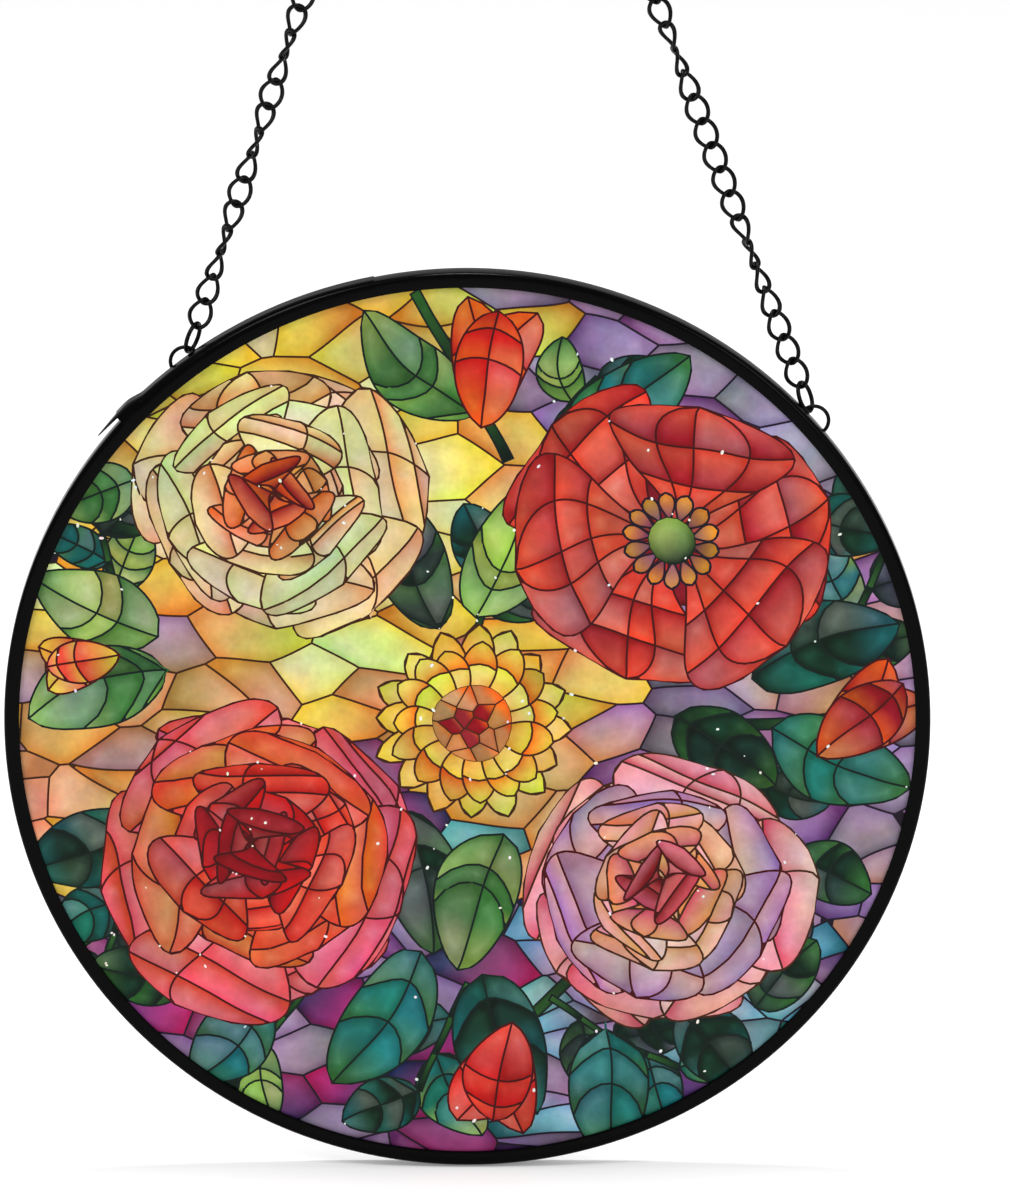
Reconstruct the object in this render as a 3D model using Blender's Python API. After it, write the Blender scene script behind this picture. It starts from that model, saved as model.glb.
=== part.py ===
"""A round printed acrylic suncatcher: a clear disc in a black channel rim, hung by a chain from two lugs.

The origin is where the top link bears on its hook. The disc hangs below it in the XZ plane and faces -Y.
"""

import math

import bmesh
import bpy
from mathutils import Matrix, Vector

# Rim: a channel bent round the disc, its corners rounded
RIM_RADIUS = 0.0762
RIM_SHEET = 0.0005
RIM_LIP = 0.0025
RIM_CORNER = 0.0008
RIM_STEPS = 72
CORNER_STEPS = 2
SHARP_ANGLE = math.radians(35)

# Acrylic disc: it sits in the channel with a little play all round
DISC_THICKNESS = 0.003
SEAT_GAP = 0.00025
DISC_RADIUS = RIM_RADIUS - RIM_SHEET - SEAT_GAP
RIM_DEPTH = DISC_THICKNESS + 2 * (SEAT_GAP + RIM_SHEET)

# Lap: one end of the channel runs over the other, swells at its end and leaves a pointed tail standing off.
# Its angles are counted about the disc's centre, from the right, with the lugs level.
LAP_START = 107.0
LAP_SWELL = 139.0
LAP_PEAK = 141.7
LAP_END = 143.3
LAP_STEPS = 18
LAP_CROWDING = 0.6
LAP_INNER_STEPS = 9
LAP_RISE = 0.00045
LAP_BUMP = 0.0007
LAP_EDGE = 0.0004
LAP_LIP_START = 137.2
LAP_LIP_STEPS = 6
LAP_LIP_WIDTH = 0.0003
LAP_LIP_THICKNESS = 0.0003
TAIL_LENGTH = 0.0052
TAIL_ROOT = 0.00045
TAIL_TIP = 0.00012

# Chain: oval links of round wire, each twisted about its length
WIRE = 0.00072
LINK_PITCH = 0.0043
LINK_WIDTH = 0.0042
LINK_TWIST = math.radians(45)
LINK_STEPS = 8
WIRE_SIDES = 4
LINK_BITE = 0.0001
LEFT_LINKS = 33
RIGHT_LINKS = 36

# Lugs: wire rings soldered on the rim's back, half of each standing above the rim's edge
LUG_SPREAD = 43.0
LUG_WIRE = 0.00064
LUG_RADIUS = 0.0024
LUG_SINK = 0.0004
LUG_STEPS = 16
LUG_SIDES = 6
LUG_GAP = 0.00025
LINK_PLAY = 0.0001

# How far each link is turned about the chain, as (link counted from the lug, degrees). 0 shows its face.
LEFT_TURNS = ((1, 10), (2, 25), (4, 92), (6, 180), (8, 265), (11, 410), (14, 540), (32, 675))
RIGHT_TURNS = ((1, 10), (3, 22), (6, 90), (8, 168), (12, 188), (14, 258), (16, 340), (35, 495))
END_LINK_TURN = 90.0
TOP_LINK_TURN = 90.0

# The hang is solved by halving the lean's range, and again as the pulls settle
STEEPEST_LEAN = 60.0
LEAN_HALVINGS = 50
PULL_ROUNDS = 12

# The faceted wire has flat sides, nearer its middle than the round wire's surface
WIRE_CORNER = WIRE / 2 * math.sqrt(math.pi / 2)
WIRE_FLAT = WIRE_CORNER * math.cos(math.pi / WIRE_SIDES)
CROWN_REACH = LINK_PITCH / 2 + WIRE_FLAT - LINK_BITE / 2
HALF_WIDTH = (LINK_WIDTH - WIRE) / 2
LUG_REACH = LUG_RADIUS - LUG_WIRE / 2 - WIRE_FLAT - LINK_PLAY
CHAIN_PLANE = RIM_DEPTH / 2 + LUG_GAP + LUG_WIRE / 2
TOP_GRIP = 2 * WIRE_CORNER + LINK_PLAY


def clear_scene():
    for thing in list(bpy.data.objects):
        bpy.data.objects.remove(thing)


def finish(name, colour, roughness, metallic, alpha=1.0):
    material = bpy.data.materials.new(name)
    material.use_nodes = True
    shader = material.node_tree.nodes["Principled BSDF"]
    shader.inputs["Base Color"].default_value = (*colour, 1.0)
    shader.inputs["Roughness"].default_value = roughness
    shader.inputs["Metallic"].default_value = metallic
    shader.inputs["Alpha"].default_value = alpha
    return material


def solid(name, bm, material, parent=None, helper=False):
    """An object from a closed bmesh, shaded smooth but for its corners. A helper only shapes another piece."""
    bmesh.ops.recalc_face_normals(bm, faces=bm.faces)
    mesh = bpy.data.meshes.new(name)
    bm.to_mesh(mesh)
    bm.free()
    mesh.shade_smooth()
    mesh.set_sharp_from_angle(angle=SHARP_ANGLE)
    mesh.materials.append(material)
    piece = bpy.data.objects.new(name, mesh)
    bpy.context.scene.collection.objects.link(piece)
    piece.parent = parent
    if helper:
        piece.hide_render = True
        piece.display_type = "WIRE"
    return piece


def join(piece, helper):
    union = piece.modifiers.new("join " + helper.name, "BOOLEAN")
    union.operation = "UNION"
    union.solver = "EXACT"
    union.object = helper


def on_disc(radius, degrees, depth=0.0):
    """A point at this radius and angle about the disc's centre, in the disc's own frame."""
    angle = math.radians(degrees)
    return Vector((radius * math.cos(angle), depth, radius * math.sin(angle)))


def turned_ring(bm, profile):
    """Spins a closed profile of (radius, depth) about the disc's axis."""
    points = [bm.verts.new(on_disc(radius, 0, depth)) for radius, depth in profile]
    edges = [bm.edges.new((a, b)) for a, b in zip(points, points[1:] + points[:1])]
    bmesh.ops.spin(
        bm,
        geom=points + edges,
        cent=(0, 0, 0),
        axis=(0, -1, 0),
        angle=2 * math.pi,
        steps=RIM_STEPS,
        use_merge=True,
    )
    bmesh.ops.remove_doubles(bm, verts=bm.verts, dist=1e-6)


def plate(bm, outline, front, back):
    """Extrudes an outline of points in the disc's plane from front to back."""
    face = bm.faces.new([bm.verts.new(point + Vector((0, front, 0))) for point in outline])
    made = bmesh.ops.extrude_face_region(bm, geom=[face], use_keep_orig=True)
    moved = [part for part in made["geom"] if isinstance(part, bmesh.types.BMVert)]
    bmesh.ops.translate(bm, verts=moved, vec=(0, back - front, 0))


def wire_ring(bm, places, outwards, sides, reach):
    """Sweeps wire round a closed line of places; outwards is the way out of the ring at each.

    The corners are mitred. Each is squared to its step on the side of the nearer crown, the step between the
    last place and the first or the one opposite, so that the wire is straight and full there.
    """
    rings = []
    half = len(places) // 2
    for i, (place, outward) in enumerate(zip(places, outwards)):
        before = (place - places[i - 1]).normalized()
        after = (places[(i + 1) % len(places)] - place).normalized()
        mitre = before + after
        along = before if i % half < half / 2 else after
        outward = (outward - outward.dot(along) * along).normalized()
        across = along.cross(outward)
        ring = []
        for k in range(sides):
            angle = 2 * math.pi * (k + 0.5) / sides
            corner = reach * (math.cos(angle) * outward + math.sin(angle) * across)
            corner -= along * corner.dot(mitre) / along.dot(mitre)
            ring.append(bm.verts.new(place + corner))
        rings.append(ring)
    for first, second in zip(rings, rings[1:] + rings[:1]):
        for k in range(sides):
            j = (k + 1) % sides
            bm.faces.new((first[k], first[j], second[j], second[k]))


def link(bm, matrix, twist):
    """One link in its own place. Its length is along the matrix's Z, its face towards Y.

    Its steps are set so that a straight one lies at each crown, where the next link bears flat on it.
    """
    places = []
    outwards = []
    fuller = 1 / math.cos(math.pi / LINK_STEPS)
    width = HALF_WIDTH * fuller
    reach = CROWN_REACH * fuller
    for i in range(LINK_STEPS):
        angle = 2 * math.pi * (i + 0.5) / LINK_STEPS
        spiral = Matrix.Rotation(twist * fuller * math.cos(angle), 3, "Z")
        place = Vector((width * math.sin(angle), 0, reach * math.cos(angle)))
        outward = Vector((reach * math.sin(angle), 0, width * math.cos(angle))).normalized()
        places.append(matrix @ (spiral @ place))
        outwards.append(matrix.to_3x3() @ (spiral @ outward))
    wire_ring(bm, places, outwards, WIRE_SIDES, WIRE_CORNER)


def turn_of(index, turns):
    """The turn of a link, in degrees, drawn straight between the links that are named."""
    for (first, low), (last, high) in zip(turns, turns[1:]):
        if index <= last:
            return low + (high - low) * (index - first) / (last - first)
    return turns[-1][1]


def lug_centre(side, lean):
    return on_disc(RIM_RADIUS - LUG_SINK, 90 - side * LUG_SPREAD - lean)


def top_end(side, pull):
    """Where a run's last crown lies, over the top link's end wire and pulled along pull."""
    crown = Vector((side * CROWN_REACH, 0, WIRE / 2))
    return crown - TOP_GRIP * pull


def hang():
    """How the disc hangs with its centre under the hook and both runs tight: (lean in degrees, drop, pulls).

    A pull is the direction in which a run is drawn, from the top link to its lug.
    """
    runs = {
        -1: LEFT_LINKS * LINK_PITCH + 2 * CROWN_REACH - LINK_PITCH + LUG_REACH,
        1: RIGHT_LINKS * LINK_PITCH + 2 * CROWN_REACH - LINK_PITCH + LUG_REACH,
    }
    pulls = {side: Vector((0, 0, -1)) for side in runs}

    def drops(lean):
        found = []
        for side, length in runs.items():
            end = top_end(side, pulls[side])
            lug = lug_centre(side, lean)
            found.append(math.sqrt(length**2 - (end.x - lug.x) ** 2) - end.z + lug.z)
        return found

    for _ in range(PULL_ROUNDS):
        low, high = -STEEPEST_LEAN, STEEPEST_LEAN
        for _ in range(LEAN_HALVINGS):
            lean = (low + high) / 2
            left, right = drops(lean)
            if left > right:
                high = lean
            else:
                low = lean
        drop = sum(drops(lean)) / 2
        for side in runs:
            lug = lug_centre(side, lean) - Vector((0, 0, drop))
            pulls[side] = (lug - top_end(side, pulls[side])).normalized()
    return lean, drop, pulls


def channel_profile():
    """The channel's section as (radius, depth), from its front lip round the outside and back inside."""
    half = RIM_DEPTH / 2
    lip = RIM_RADIUS - RIM_LIP
    corners = []
    for side in (-1, 1):
        arc = []
        for i in range(CORNER_STEPS + 1):
            angle = math.pi / 2 * i / CORNER_STEPS
            radius = RIM_RADIUS - RIM_CORNER * (1 - math.sin(angle))
            depth = side * (half - RIM_CORNER * (1 - math.cos(angle)))
            arc.append((radius, depth))
        corners += arc if side < 0 else reversed(arc)
    inner = half - RIM_SHEET
    back = [(lip, half), (lip, inner), (RIM_RADIUS - RIM_SHEET, inner)]
    front = [(RIM_RADIUS - RIM_SHEET, -inner), (lip, -inner), (lip, -half)]
    return corners + back + front


def lap_outline():
    """The lapping end's outer band with its tail, as an outline in the disc's plane."""
    outer = []
    for i in range(LAP_STEPS + 1):
        degrees = LAP_START + (LAP_END - LAP_START) * (i / LAP_STEPS) ** LAP_CROWDING
        swell = min(max((degrees - LAP_SWELL) / (LAP_PEAK - LAP_SWELL), 0), 1)
        rise = LAP_RISE * i / LAP_STEPS + LAP_BUMP * swell * swell * (3 - 2 * swell)
        outer.append(on_disc(RIM_RADIUS + rise, degrees))
    root = outer[-1]
    inward = -root.normalized()
    along = Vector((root.z, 0, -root.x)).normalized() * -1
    tip = root + along * TAIL_LENGTH
    tail = [tip, tip + inward * TAIL_TIP, root + inward * TAIL_ROOT]
    base = RIM_RADIUS - RIM_SHEET / 2
    inner = []
    for i in range(LAP_INNER_STEPS + 1):
        inner.append(on_disc(base, LAP_END + (LAP_START - LAP_END) * i / LAP_INNER_STEPS))
    return outer + tail + inner


def lap_lip_outline():
    """The lapping end's lip, a band laid on the channel's own."""
    shares = [i / LAP_LIP_STEPS for i in range(LAP_LIP_STEPS + 1)]
    angles = [LAP_LIP_START + (LAP_END - LAP_LIP_START) * share for share in shares]
    outer = [on_disc(RIM_RADIUS - RIM_CORNER / 2, degrees) for degrees in angles]
    inner = []
    for share, degrees in zip(shares, angles):
        inner.append(on_disc(RIM_RADIUS - RIM_LIP - LAP_LIP_WIDTH * share, degrees))
    return outer + inner[::-1]


def make_rim(material, parent):
    bm = bmesh.new()
    turned_ring(bm, channel_profile())
    rim = solid("rim", bm, material, parent)
    bm = bmesh.new()
    half = RIM_DEPTH / 2 - LAP_EDGE
    plate(bm, lap_outline(), -half, half)
    join(rim, solid("lap band", bm, material, parent, helper=True))
    for side, name in ((-1, "front lap lip"), (1, "back lap lip")):
        bm = bmesh.new()
        buried = side * (RIM_DEPTH / 2 - RIM_SHEET / 2)
        proud = side * (RIM_DEPTH / 2 + LAP_LIP_THICKNESS)
        plate(bm, lap_lip_outline(), buried, proud)
        join(rim, solid(name, bm, material, parent, helper=True))
    return rim


def make_disc(material, parent):
    bm = bmesh.new()
    bmesh.ops.create_cone(
        bm,
        cap_ends=True,
        segments=RIM_STEPS,
        radius1=DISC_RADIUS,
        radius2=DISC_RADIUS,
        depth=DISC_THICKNESS,
        matrix=Matrix.Rotation(math.pi / 2, 4, "X"),
    )
    return solid("picture_disc", bm, material, parent)


def make_lug(name, side, material, parent):
    """A wire ring flat against the rim's back lip."""
    bm = bmesh.new()
    centre = lug_centre(side, 0) + Vector((0, CHAIN_PLANE, 0))
    outwards = [on_disc(1, 360 * i / LUG_STEPS) for i in range(LUG_STEPS)]
    places = [centre + LUG_RADIUS * outward for outward in outwards]
    wire_ring(bm, places, outwards, LUG_SIDES, LUG_WIRE / 2)
    return solid(name, bm, material, parent)


def make_run(name, lug, up, count, turns, material):
    """One side's links, from the lug up. Every other link is built apart and joined where the wires touch.

    The joined faces are cut into triangles here, so that no two of them share more than an edge.
    """
    tilt = Matrix.Rotation(math.atan2(up.x, up.z), 4, "Y")
    groups = (bmesh.new(), bmesh.new())
    for index in range(count):
        centre = lug + up * (LUG_REACH + CROWN_REACH + index * LINK_PITCH)
        flat = index == 0
        turn = math.radians(END_LINK_TURN if flat else turn_of(index, turns))
        place = Matrix.Translation(centre) @ tilt @ Matrix.Rotation(turn, 4, "Z")
        link(groups[index % 2], place, 0 if flat else LINK_TWIST)
    run = solid(name, groups[0], material)
    join(run, solid(name + " other links", groups[1], material, helper=True))
    run.modifiers.new("triangles", "TRIANGULATE")
    return run


def make_top_link(material):
    bm = bmesh.new()
    lying = Matrix.Rotation(math.pi / 2, 4, "Y") @ Matrix.Rotation(math.radians(TOP_LINK_TURN), 4, "Z")
    link(bm, Matrix.Translation((0, 0, WIRE / 2)) @ lying, 0)
    return solid("top_link", bm, material)


clear_scene()
black_enamel = finish("black enamel", (0.012, 0.012, 0.013), 0.28, 0.0)
black_wire = finish("blackened wire", (0.02, 0.02, 0.021), 0.35, 0.6)
printed_acrylic = finish("printed acrylic", (0.72, 0.42, 0.24), 0.12, 0.0, 0.9)

lean, drop, pulls = hang()
left_lug = lug_centre(-1, lean) - Vector((0, 0, drop))
right_lug = lug_centre(1, lean) - Vector((0, 0, drop))
disc_centre = bpy.data.objects.new("disc centre", None)
bpy.context.scene.collection.objects.link(disc_centre)
disc_centre.location = (0, -CHAIN_PLANE, -drop)
disc_centre.rotation_euler = (0, math.radians(lean), 0)

make_disc(printed_acrylic, disc_centre)
make_rim(black_enamel, disc_centre)
make_lug("left_lug", -1, black_wire, disc_centre)
make_lug("right_lug", 1, black_wire, disc_centre)
make_run("left_chain", left_lug, -pulls[-1], LEFT_LINKS, LEFT_TURNS, black_wire)
make_run("right_chain", right_lug, -pulls[1], RIGHT_LINKS, RIGHT_TURNS, black_wire)
make_top_link(black_wire)
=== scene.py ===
"""The looks of a round printed acrylic suncatcher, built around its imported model. Metres, +Z up."""

import math
import random

import bmesh
import bpy
import numpy as np
from mathutils import Matrix, Vector, noise
from mathutils.geometry import delaunay_2d_cdt


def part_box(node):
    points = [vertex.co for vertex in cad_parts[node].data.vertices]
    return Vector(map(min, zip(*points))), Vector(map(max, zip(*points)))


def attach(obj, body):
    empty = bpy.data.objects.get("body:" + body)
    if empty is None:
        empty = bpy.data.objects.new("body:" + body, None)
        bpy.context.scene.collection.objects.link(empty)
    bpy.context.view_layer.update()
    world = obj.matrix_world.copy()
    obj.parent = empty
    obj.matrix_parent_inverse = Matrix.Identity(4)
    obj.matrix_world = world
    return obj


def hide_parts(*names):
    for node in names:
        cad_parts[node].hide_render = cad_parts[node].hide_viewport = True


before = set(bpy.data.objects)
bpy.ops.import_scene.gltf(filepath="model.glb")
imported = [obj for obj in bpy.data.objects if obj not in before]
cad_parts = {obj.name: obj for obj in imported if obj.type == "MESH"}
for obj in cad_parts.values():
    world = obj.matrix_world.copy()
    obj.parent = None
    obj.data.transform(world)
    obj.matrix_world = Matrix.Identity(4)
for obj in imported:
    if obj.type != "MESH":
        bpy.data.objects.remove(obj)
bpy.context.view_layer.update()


# Acrylic disc
# A clear disc laser-cut from 3 mm sheet. It sits in the rim's channel with a little play,
# and its cut edge has a fine polished chamfer.
ROUND_STEPS = 256
DISC_CHAMFER = 0.0002
CHAMFER_STEPS = 2
SMOOTH_ANGLE = math.radians(35)

disc_low, disc_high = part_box("picture_disc")
disc_centre = (disc_low + disc_high) / 2
disc_radius = (disc_high.x - disc_low.x) / 2
disc_thickness = disc_high.y - disc_low.y
left_lug_low, left_lug_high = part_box("left_lug")
right_lug_low, right_lug_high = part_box("right_lug")
left_lug_centre = (left_lug_low + left_lug_high) / 2
right_lug_centre = (right_lug_low + right_lug_high) / 2
lug_line = right_lug_centre - left_lug_centre
lean = math.atan2(-lug_line.z, lug_line.x)
disc_frame = Matrix.Translation(disc_centre) @ Matrix.Rotation(lean, 4, "Y")


def take(piece):
    """Leaves this object alone selected and active, as a click on it would."""
    bpy.ops.object.select_all(action="DESELECT")
    piece.select_set(True)
    bpy.context.view_layer.objects.active = piece


def new_piece(name):
    """Names the object that an operator has just added, and takes it."""
    piece = bpy.context.object
    piece.name = name
    piece.data.name = name
    take(piece)
    return piece


def modify(piece, kind, **settings):
    """Adds a modifier with these settings and applies it."""
    take(piece)
    modifier = piece.modifiers.new(kind.lower(), kind)
    for name, value in settings.items():
        setattr(modifier, name, value)
    bpy.ops.object.modifier_apply(modifier=modifier.name)


def settle(piece, matrix):
    """Puts a finished piece in its place, with the place in its mesh."""
    take(piece)
    bpy.ops.object.transform_apply(location=True, rotation=True, scale=True)
    piece.data.transform(matrix)
    piece.data.update()


def hand_over(piece, slot_name, *nodes):
    """The piece stands for these nodes and rides with the rest. slot_name is not used."""
    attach(piece, "root")
    if nodes:
        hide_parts(*nodes)


def principled(name, **values):
    """A material with one shader, its plain values set on the sockets."""
    material = bpy.data.materials.new(name)
    material.use_nodes = True
    shader = material.node_tree.nodes["Principled BSDF"]
    for socket, value in values.items():
        shader.inputs[socket.replace("_", " ")].default_value = value
    return material, material.node_tree, shader


bpy.ops.object.select_all(action="DESELECT")
bpy.ops.mesh.primitive_cylinder_add(
    vertices=ROUND_STEPS, radius=disc_radius, depth=disc_thickness, rotation=(math.pi / 2, 0, 0)
)
acrylic_disc = new_piece("acrylic_disc")
modify(acrylic_disc, "BEVEL", width=DISC_CHAMFER, segments=CHAMFER_STEPS, limit_method="ANGLE")
bpy.ops.object.shade_smooth_by_angle(angle=SMOOTH_ANGLE)
settle(acrylic_disc, disc_frame)

clear_acrylic, _, _ = principled(
    "clear_acrylic",
    Base_Color=(0.97, 0.985, 0.98, 1),
    Roughness=0.03,
    IOR=1.49,
    Transmission_Weight=1.0,
    Alpha=0.15,
)
acrylic_disc.data.materials.append(clear_acrylic)
hand_over(acrylic_disc, "printed_acrylic", "picture_disc")


# Printed picture
# Inks printed flat on the disc's front: blooms, buds and leaves in the manner of stained glass.
# Each cell of colour is laid over the ones before it and framed by a fine dark line.
INK_LIFT = 0.00002
PRINT_MARGIN = 0.0004
PICTURE_SEED = 7
LINE = 0.00036
STEP = 0.0013
DRIFT = 0.0012
DRIFT_SCALE = 75.0
DRIFT_SEED = 1795852435
BODY_SHARE = 0.58
EDGE_FADE = 0.0016
EDGE_DEPTH = 0.55
SMALLEST_CELL = 3e-7
SHARPEST = 0.22
STRAY_SHARE = 0.93
MERGE_DISTANCE = 1e-6
VEIN_STEPS = 8
RIB_STEPS = 4
EDGE_STEPS = 16
TINT_SPREAD = 0.12
PALING = (0, 0, 0, 0.04, 0.12)
GROUND_PITCH = 0.0092
GROUND_DRAWN_OUT = np.array([[1.32, 0.42], [-0.2, 0.74]])
GLINTS = 130
GLINT_SIZE = (0.0001, 0.00026)
GLINT_SIDES = 8

picture = random.Random(PICTURE_SEED)
noise.seed_set(DRIFT_SEED)
cells = []


def ink(red, green, blue):
    """A colour given as 0 to 255 on screen, as the light that the shader works in."""
    shades = np.array([red, green, blue]) / 255
    return np.where(shades > 0.04045, ((shades + 0.055) / 1.055) ** 2.4, shades / 12.92)


def polar(centre, radius, degrees):
    angle = math.radians(degrees)
    return np.array([centre[0] + radius * math.cos(angle), centre[1] + radius * math.sin(angle)])


def signed_area(outline):
    x, z = outline[:, 0], outline[:, 1]
    return 0.5 * float(np.sum(x * np.roll(z, -1) - np.roll(x, -1) * z))


def closed_path(points, step=STEP):
    """An outline with no point twice and none further apart than a step, going anticlockwise."""
    path = []
    for start, end in zip(points, list(points[1:]) + [points[0]]):
        start, end = np.array(start), np.array(end)
        length = float(np.hypot(*(end - start)))
        if length < MERGE_DISTANCE * 20:
            continue
        for i in range(max(1, math.ceil(length / step))):
            path.append(start + (end - start) * i / max(1, math.ceil(length / step)))
    path = np.array(path)
    return path if signed_area(path) > 0 else path[::-1]


def hand_drawn(outline):
    """Lets an outline wander a little, the same way wherever two cells share it."""
    wandered = []
    for x, z in outline:
        off = noise.noise_vector(Vector((x * DRIFT_SCALE, z * DRIFT_SCALE, PICTURE_SEED)))
        wandered.append((x + DRIFT * off.x, z + DRIFT * off.y))
    return np.array(wandered)


def edge_distance(points, outline):
    """How far each point is from the outline."""
    start = outline
    run = np.roll(outline, -1, axis=0) - start
    offset = points[:, None, :] - start[None]
    share = np.clip((offset * run).sum(2) / np.maximum((run * run).sum(1), 1e-18), 0, 1)
    return np.sqrt(((offset - share[..., None] * run) ** 2).sum(2)).min(1)


def shifted(outline, width):
    """The outline moved inwards by a width with its corners kept sharp. A negative width moves it out."""
    run = np.roll(outline, -1, axis=0) - outline
    run /= np.maximum(np.hypot(run[:, 0], run[:, 1]), 1e-12)[:, None]
    inward = np.stack([-run[:, 1], run[:, 0]], axis=1)
    before = np.roll(inward, 1, axis=0)
    spread = np.maximum(1 + (inward * before).sum(1), SHARPEST)
    return outline + width * (inward + before) / spread[:, None]


def inset(outline, width):
    """The outline moved inwards by a width, or None where nothing is left."""
    drawn_in = shifted(outline, width)
    kept = drawn_in[edge_distance(drawn_in, outline) > width * STRAY_SHARE]
    if len(kept) < 4 or signed_area(kept) < SMALLEST_CELL:
        return None
    return kept


def lay(points, near, far, start, end, line, width=LINE):
    """Lays one cell of colour, running from near at the start to far at the end."""
    outline = hand_drawn(closed_path(points))
    if signed_area(outline) < SMALLEST_CELL:
        return
    cells.append(
        {
            "outline": outline,
            "glass": inset(outline, width / 2),
            "near": near,
            "far": far,
            "start": np.array(start),
            "end": np.array(end),
            "line": line,
        }
    )


def back_up(points, line):
    """Lays a shape in the line's colour a little wider than its cells, which frames them from outside."""
    outline = hand_drawn(closed_path(points))
    cells.append({"outline": shifted(outline, -LINE / 2), "glass": None, "line": line})


def shade_of(colour, spread=0.16):
    """The colour as one cell of glass has it, a little off its neighbours'."""
    light = 1 + picture.uniform(-spread, spread)
    tinted = colour * light * (1 + np.array([picture.uniform(-TINT_SPREAD, TINT_SPREAD) for _ in range(3)]))
    paler = picture.choice(PALING)
    return np.clip(tinted * (1 - paler) + paler, 0.001, 0.96)


def petal(base, tip, half_width, belly, veins, ribs, near, far, line, bow=0.0, arch=0.09, taper=0.62):
    """A petal or leaf from base to tip, cut into cells by veins along it and ribs across it.

    belly moves its widest place towards the tip. veins are places from -1 to 1, ribs from 0 to 1.
    A small taper makes blunt ends and one near 1 pointed ends.
    """
    base, tip = np.array(base), np.array(tip)
    along = tip - base
    side = np.array([-along[1], along[0]]) / np.hypot(*along)
    cross = [-1.0] + list(veins) + [1.0]
    cuts = [0.0] + list(ribs) + [1.0]

    def place(s, t):
        width = half_width * math.sin(math.pi * s**belly) ** taper if 0 < s < 1 else 0.0
        return base + along * s + side * (t * width + bow * half_width * math.sin(math.pi * s))

    def arched(cut, t):
        return cut + (arch * (1 - t * t) if 0 < cut < 1 else 0.0)

    def vein_run(t, start, end):
        """Places along a vein or an edge, from one cut to the next."""
        start, end = arched(start, t), arched(end, t)
        return [place(start + (end - start) * i / VEIN_STEPS, t) for i in range(VEIN_STEPS + 1)]

    def rib_run(cut, start, end):
        """Places along a rib, from one vein to the next."""
        crossed = [start + (end - start) * i / RIB_STEPS for i in range(RIB_STEPS + 1)]
        return [place(arched(cut, t), t) for t in crossed]

    back_up(
        [place(i / EDGE_STEPS, -1.0) for i in range(EDGE_STEPS + 1)]
        + [place(1 - i / EDGE_STEPS, 1.0) for i in range(1, EDGE_STEPS)],
        line,
    )
    for low, high in zip(cuts, cuts[1:]):
        for left, right in zip(cross, cross[1:]):
            points = vein_run(left, low, high) + rib_run(high, left, right)[1:]
            points += vein_run(right, high, low)[1:] + rib_run(low, right, left)[1:-1]
            lay(points, shade_of(near), shade_of(far), base + along * low, base + along * high, line)


def voronoi(seeds, border):
    """Cuts a border into one cell about each seed."""
    seeds = np.array(seeds)
    found = []
    for seed in seeds:
        order = np.argsort(np.hypot(*(seeds - seed).T))[1:26]
        cell = [np.array(point) for point in border]
        for other in seeds[order]:
            middle, away = (seed + other) / 2, other - seed
            cut = []
            for a, b in zip(cell, cell[1:] + cell[:1]):
                side_a, side_b = float((a - middle) @ away), float((b - middle) @ away)
                if side_a <= 0:
                    cut.append(a)
                if side_a * side_b < 0:
                    cut.append(a + (b - a) * side_a / (side_a - side_b))
            cell = cut
        if len(cell) > 2:
            found.append((seed, cell))
    return found


LEMON = ink(238, 222, 96)
PALE_LEMON = ink(232, 232, 176)
AMBER = ink(224, 162, 62)
TAN = ink(208, 158, 104)
ORANGE = ink(240, 132, 44)
CORAL = ink(236, 104, 76)
RED = ink(214, 38, 34)
CRIMSON = ink(172, 24, 46)
ROSE = ink(232, 118, 138)
BLUSH = ink(240, 190, 186)
CREAM = ink(244, 224, 176)
PEACH = ink(242, 178, 122)
LILAC = ink(176, 146, 186)
PLUM = ink(122, 62, 128)
MAGENTA = ink(186, 42, 122)
SLATE = ink(118, 112, 128)
SKY = ink(128, 182, 206)
TEAL = ink(34, 128, 124)
LEAF = ink(84, 138, 76)
LIME = ink(172, 196, 112)
FOREST = ink(18, 58, 44)
NAVY = ink(30, 46, 98)
BROWN_LINE = ink(66, 34, 16)
RED_LINE = ink(72, 12, 14)
GREEN_LINE = ink(14, 30, 26)
DARK_LINE = ink(30, 20, 36)
GLINT = ink(252, 252, 246)


YELLOWS = ((LEMON, PALE_LEMON), (LEMON, AMBER), (AMBER, LEMON), (PALE_LEMON, LEMON))
TANS = ((AMBER, TAN), (TAN, PEACH), (AMBER, LEMON), (TAN, LILAC))
MAUVES = ((LILAC, SLATE), (LILAC, PLUM), (TAN, LILAC), (SLATE, LILAC))
BLUES = ((SKY, TEAL), (SLATE, SKY), (NAVY, PLUM), (SKY, LILAC))
MAGENTAS = ((PLUM, MAGENTA), (LILAC, PLUM), (SLATE, LILAC), (MAGENTA, NAVY))


def ground_inks(x, z):
    """The ground's colours over the disc: yellows at the top left, tans, mauves, blues and magentas."""
    bearing = math.degrees(math.atan2(z, x)) % 360
    reach = math.hypot(x, z) / disc_radius
    if 85 < bearing < 175:
        return picture.choice(YELLOWS), BROWN_LINE
    if 175 <= bearing < 215 or reach < 0.35:
        return picture.choice(TANS), BROWN_LINE
    if bearing < 85 or bearing > 335:
        return picture.choice(MAUVES), DARK_LINE
    if bearing > 285:
        return picture.choice(BLUES), DARK_LINE
    return picture.choice(MAGENTAS), DARK_LINE


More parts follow.
